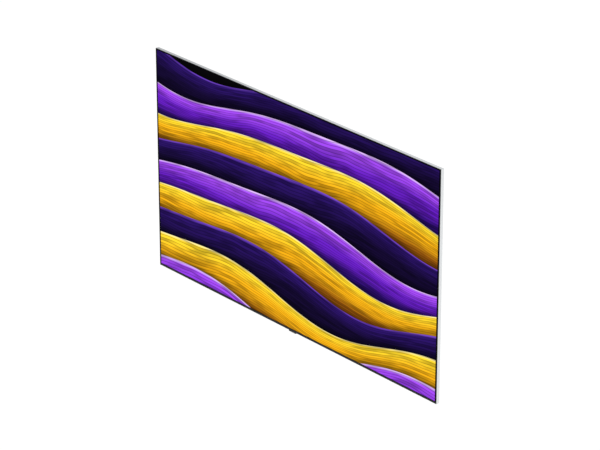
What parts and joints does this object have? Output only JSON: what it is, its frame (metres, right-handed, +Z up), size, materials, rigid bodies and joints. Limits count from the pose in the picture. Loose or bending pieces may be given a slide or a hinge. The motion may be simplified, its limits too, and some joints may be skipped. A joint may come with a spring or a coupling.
{
  "type": "flat panel television",
  "caption": "Thin wall-hung flat panel television with a glass screen, slim metal frame, rear wall-mount recess, connection bays and a small control housing under the edge.",
  "frame": {"origin": "centre of the four wall-mount inserts, on the plane of the recess floor that the wall bracket rests on", "axes": "+X along the screen's width, to the right of a viewer facing the screen; +Y from the screen to the wall; +Z up"},
  "size_m": [1.441, 0.0243, 0.8329],
  "materials": {
    "screen_glass": "anti-reflective dark glass",
    "foam": "matt foam",
    "plate_aluminium": "mill finish",
    "dark_rim": "satin dark grey",
    "frame_aluminium": "satin silver",
    "die_cast": "die-cast",
    "screw_black": "black zinc",
    "screw_zinc": "zinc plated",
    "cover_plastic": "fine textured",
    "pan_paint": "matt powder coat",
    "zinc_steel": "zinc coated",
    "insert_steel": "turned",
    "standoff_brass": "turned",
    "socket_nickel": "nickel plated",
    "socket_black": "moulded",
    "board_green": "solder resist",
    "board_cream": "paper laminate",
    "chip_black": "moulded epoxy",
    "sink_aluminium": "extruded",
    "ferrite": "ferrite and tape",
    "capacitor_sleeve": "sleeved",
    "flex_amber": "polyimide film",
    "cable_white": "flat ribbon",
    "harness_black": "sleeved wires",
    "speaker_black": "moulded",
    "cushion_rubber": "soft",
    "housing_black": "satin",
    "window_dark": "infrared window"
  },
  "bodies": {
    "television": {"display_glass": "screen_glass", "panel_foam_tape": "foam", "support_plate": "plate_aluminium", "edge_rim": "dark_rim", "lower_trim": "dark_rim", "top_frame_bar": "frame_aluminium", "bottom_frame_bar": "frame_aluminium", "left_frame_bar": "frame_aluminium", "right_frame_bar": "frame_aluminium", "corner_brackets": "die_cast", "cover_screws": "screw_black", "pan_screws": "screw_black", "corner_screws": "screw_black", "board_screws": "screw_zinc", "speaker_screws": "screw_zinc", "sensor_screws": "screw_zinc", "middle_rear_cover": "cover_plastic", "left_rear_cover": "cover_plastic", "right_rear_cover": "cover_plastic", "jack_bay_tray": "cover_plastic", "power_bay_tray": "cover_plastic", "mount_pan": "pan_paint", "mount_plate": "zinc_steel", "jack_plate": "zinc_steel", "inlet_plate": "zinc_steel", "vesa_inserts": "insert_steel", "cover_standoffs": "insert_steel", "board_standoffs": "standoff_brass", "hdmi_sockets": "socket_nickel", "usb_sockets": "socket_nickel", "lan_socket": "socket_nickel", "antenna_sockets": "socket_nickel", "optical_socket": "socket_black", "mains_inlet": "socket_black", "main_board": "board_green", "timing_board": "board_green", "source_boards": "board_green", "sensor_board": "board_green", "wireless_module": "board_green", "power_board": "board_cream", "board_chips": "chip_black", "main_heat_sink": "sink_aluminium", "power_heat_sinks": "sink_aluminium", "timing_shield": "sink_aluminium", "transformers": "ferrite", "input_filter": "ferrite", "power_capacitors": "capacitor_sleeve", "panel_flexes": "flex_amber", "flat_cables": "cable_white", "power_harness": "harness_black", "speakers": "speaker_black", "woofers": "speaker_black", "speaker_cushions": "cushion_rubber", "sensor_housing": "housing_black", "sensor_window": "window_dark"},
    "power_button": {"power_button": "housing_black"},
    "microphone_switch": {"microphone_switch": "housing_black"},
    "jack_bay_cover": {"jack_bay_cover": "cover_plastic"},
    "power_bay_cover": {"power_bay_cover": "cover_plastic"}
  },
  "joints": [
    {"name": "power_button_press", "type": "slide", "parent": "television", "child": "power_button", "axis": [0, 0, 1], "range_m": [0, 0.0008], "stiffness_N_per_m": 400},
    {"name": "microphone_switch_slide", "type": "slide", "parent": "television", "child": "microphone_switch", "axis": [1, 0, 0], "range_m": [0, 0.0024]},
    {"name": "jack_bay_cover_lift", "type": "slide", "parent": "television", "child": "jack_bay_cover", "axis": [0, 1, 0], "range_m": [0, 0.03]},
    {"name": "power_bay_cover_lift", "type": "slide", "parent": "television", "child": "power_bay_cover", "axis": [0, 1, 0], "range_m": [0, 0.03]}
  ]
}
